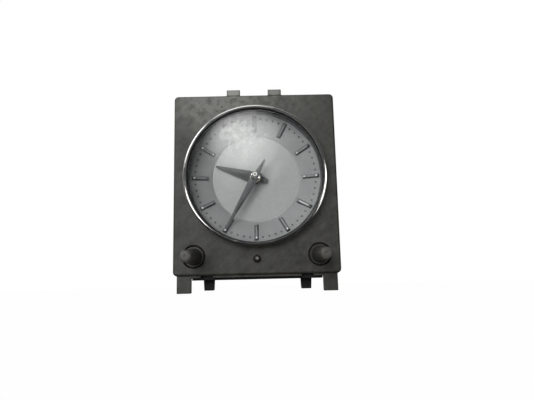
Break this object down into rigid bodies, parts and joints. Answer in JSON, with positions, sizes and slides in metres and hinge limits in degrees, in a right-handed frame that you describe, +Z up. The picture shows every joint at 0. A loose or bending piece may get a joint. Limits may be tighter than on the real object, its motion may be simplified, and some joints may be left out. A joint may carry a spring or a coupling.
{
  "type": "car dashboard clock",
  "caption": "Analogue dashboard clock module: upright plate with a chrome-ringed dial, two hands, set-button stems, locating tabs, legs and pin, and a geared movement in a rear case.",
  "frame": {"origin": "on the dial axis at the front face of the plate, where the bezel's collar begins", "axes": "+Z up, +X to the right seen from the front, -Y out of the dial towards the driver"},
  "size_m": [0.0706, 0.0472, 0.0889],
  "materials": {
    "plate_grey": "fine moulded grain",
    "button_grey": "fine moulded grain",
    "bezel_chrome": "polished plating",
    "lens_clear": "clear, slightly dusty",
    "gasket_rubber": "matt",
    "black_plastic": "satin",
    "dial_silver": "satin silver paint",
    "dial_pale": "pale satin paint",
    "marker_metal": "polished facets",
    "light_clear": "clear",
    "tray_white": "matt white",
    "hand_metal": "polished facets",
    "gear_plastic": "natural",
    "brass": "turned",
    "magnet_grey": "sintered",
    "steel": "turned",
    "movement_plastic": "satin",
    "stator_iron": "stamped",
    "bobbin_plastic": "natural",
    "copper": "enamelled wire",
    "board_green": "solder mask",
    "lamp_white": "clear",
    "chip_black": "satin",
    "capacitor_can": "sleeved",
    "plunger_cream": "satin",
    "case_black": "moulded grain"
  },
  "bodies": {
    "housing": {"front_plate": "plate_grey", "chrome_bezel": "bezel_chrome", "lens": "lens_clear", "lens_gasket": "gasket_rubber", "spacer_ring": "black_plastic", "dial_ring": "dial_silver", "dial_centre": "dial_pale", "hour_markers": "marker_metal", "light_guide": "light_clear", "reflector_tray": "tray_white", "centre_post": "steel", "wheel_pins": "steel", "movement_plate": "movement_plastic", "movement_cover": "movement_plastic", "stator": "stator_iron", "coil_core": "stator_iron", "coil_bobbin": "bobbin_plastic", "coil_winding": "copper", "stator_screws": "steel", "movement_screws": "steel", "circuit_board": "board_green", "backlight_leds": "lamp_white", "control_chip": "chip_black", "quartz_crystal": "steel", "capacitors": "capacitor_can", "resistors": "chip_black", "connector_header": "black_plastic", "connector_pins": "brass", "left_switch": "black_plastic", "right_switch": "black_plastic", "rear_case": "case_black", "case_screws": "steel"},
    "minute": {"minute_hand": "hand_metal", "hand_cap": "bezel_chrome", "minute_wheel": "brass"},
    "hour": {"hour_hand": "hand_metal", "hour_wheel": "gear_plastic"},
    "motion": {"motion_wheel": "gear_plastic"},
    "intermediate": {"intermediate_wheel": "gear_plastic"},
    "rotor": {"rotor_pinion": "brass", "rotor_magnet": "magnet_grey"},
    "left_set": {"left_button": "button_grey", "left_plunger": "plunger_cream"},
    "right_set": {"right_button": "button_grey", "right_plunger": "plunger_cream"}
  },
  "joints": [
    {"name": "minute_turn", "type": "hinge", "parent": "housing", "child": "minute", "pos_m": [0, 0, 0], "axis": [0, 1, 0], "continuous": true},
    {"name": "hour_turn", "type": "hinge", "parent": "housing", "child": "hour", "pos_m": [0, 0, 0], "axis": [0, 1, 0], "continuous": true},
    {"name": "motion_turn", "type": "hinge", "parent": "housing", "child": "motion", "pos_m": [0, 0, 0.012], "axis": [0, 1, 0], "continuous": true},
    {"name": "intermediate_turn", "type": "hinge", "parent": "housing", "child": "intermediate", "pos_m": [0, 0, -0.0112], "axis": [0, 1, 0], "continuous": true},
    {"name": "rotor_turn", "type": "hinge", "parent": "housing", "child": "rotor", "pos_m": [0, 0, -0.0196], "axis": [0, 1, 0], "continuous": true},
    {"name": "left_press", "type": "slide", "parent": "housing", "child": "left_set", "axis": [0, 1, 0], "range_m": [0, 0.001], "stiffness_N_per_m": 800},
    {"name": "right_press", "type": "slide", "parent": "housing", "child": "right_set", "axis": [0, 1, 0], "range_m": [0, 0.001], "stiffness_N_per_m": 800}
  ],
  "couplings": [
    {"joint": "hour_turn", "follows": "minute_turn", "ratio": 0.083333},
    {"joint": "motion_turn", "follows": "minute_turn", "ratio": -0.33333},
    {"joint": "intermediate_turn", "follows": "minute_turn", "ratio": -6},
    {"joint": "rotor_turn", "follows": "minute_turn", "ratio": 30}
  ]
}
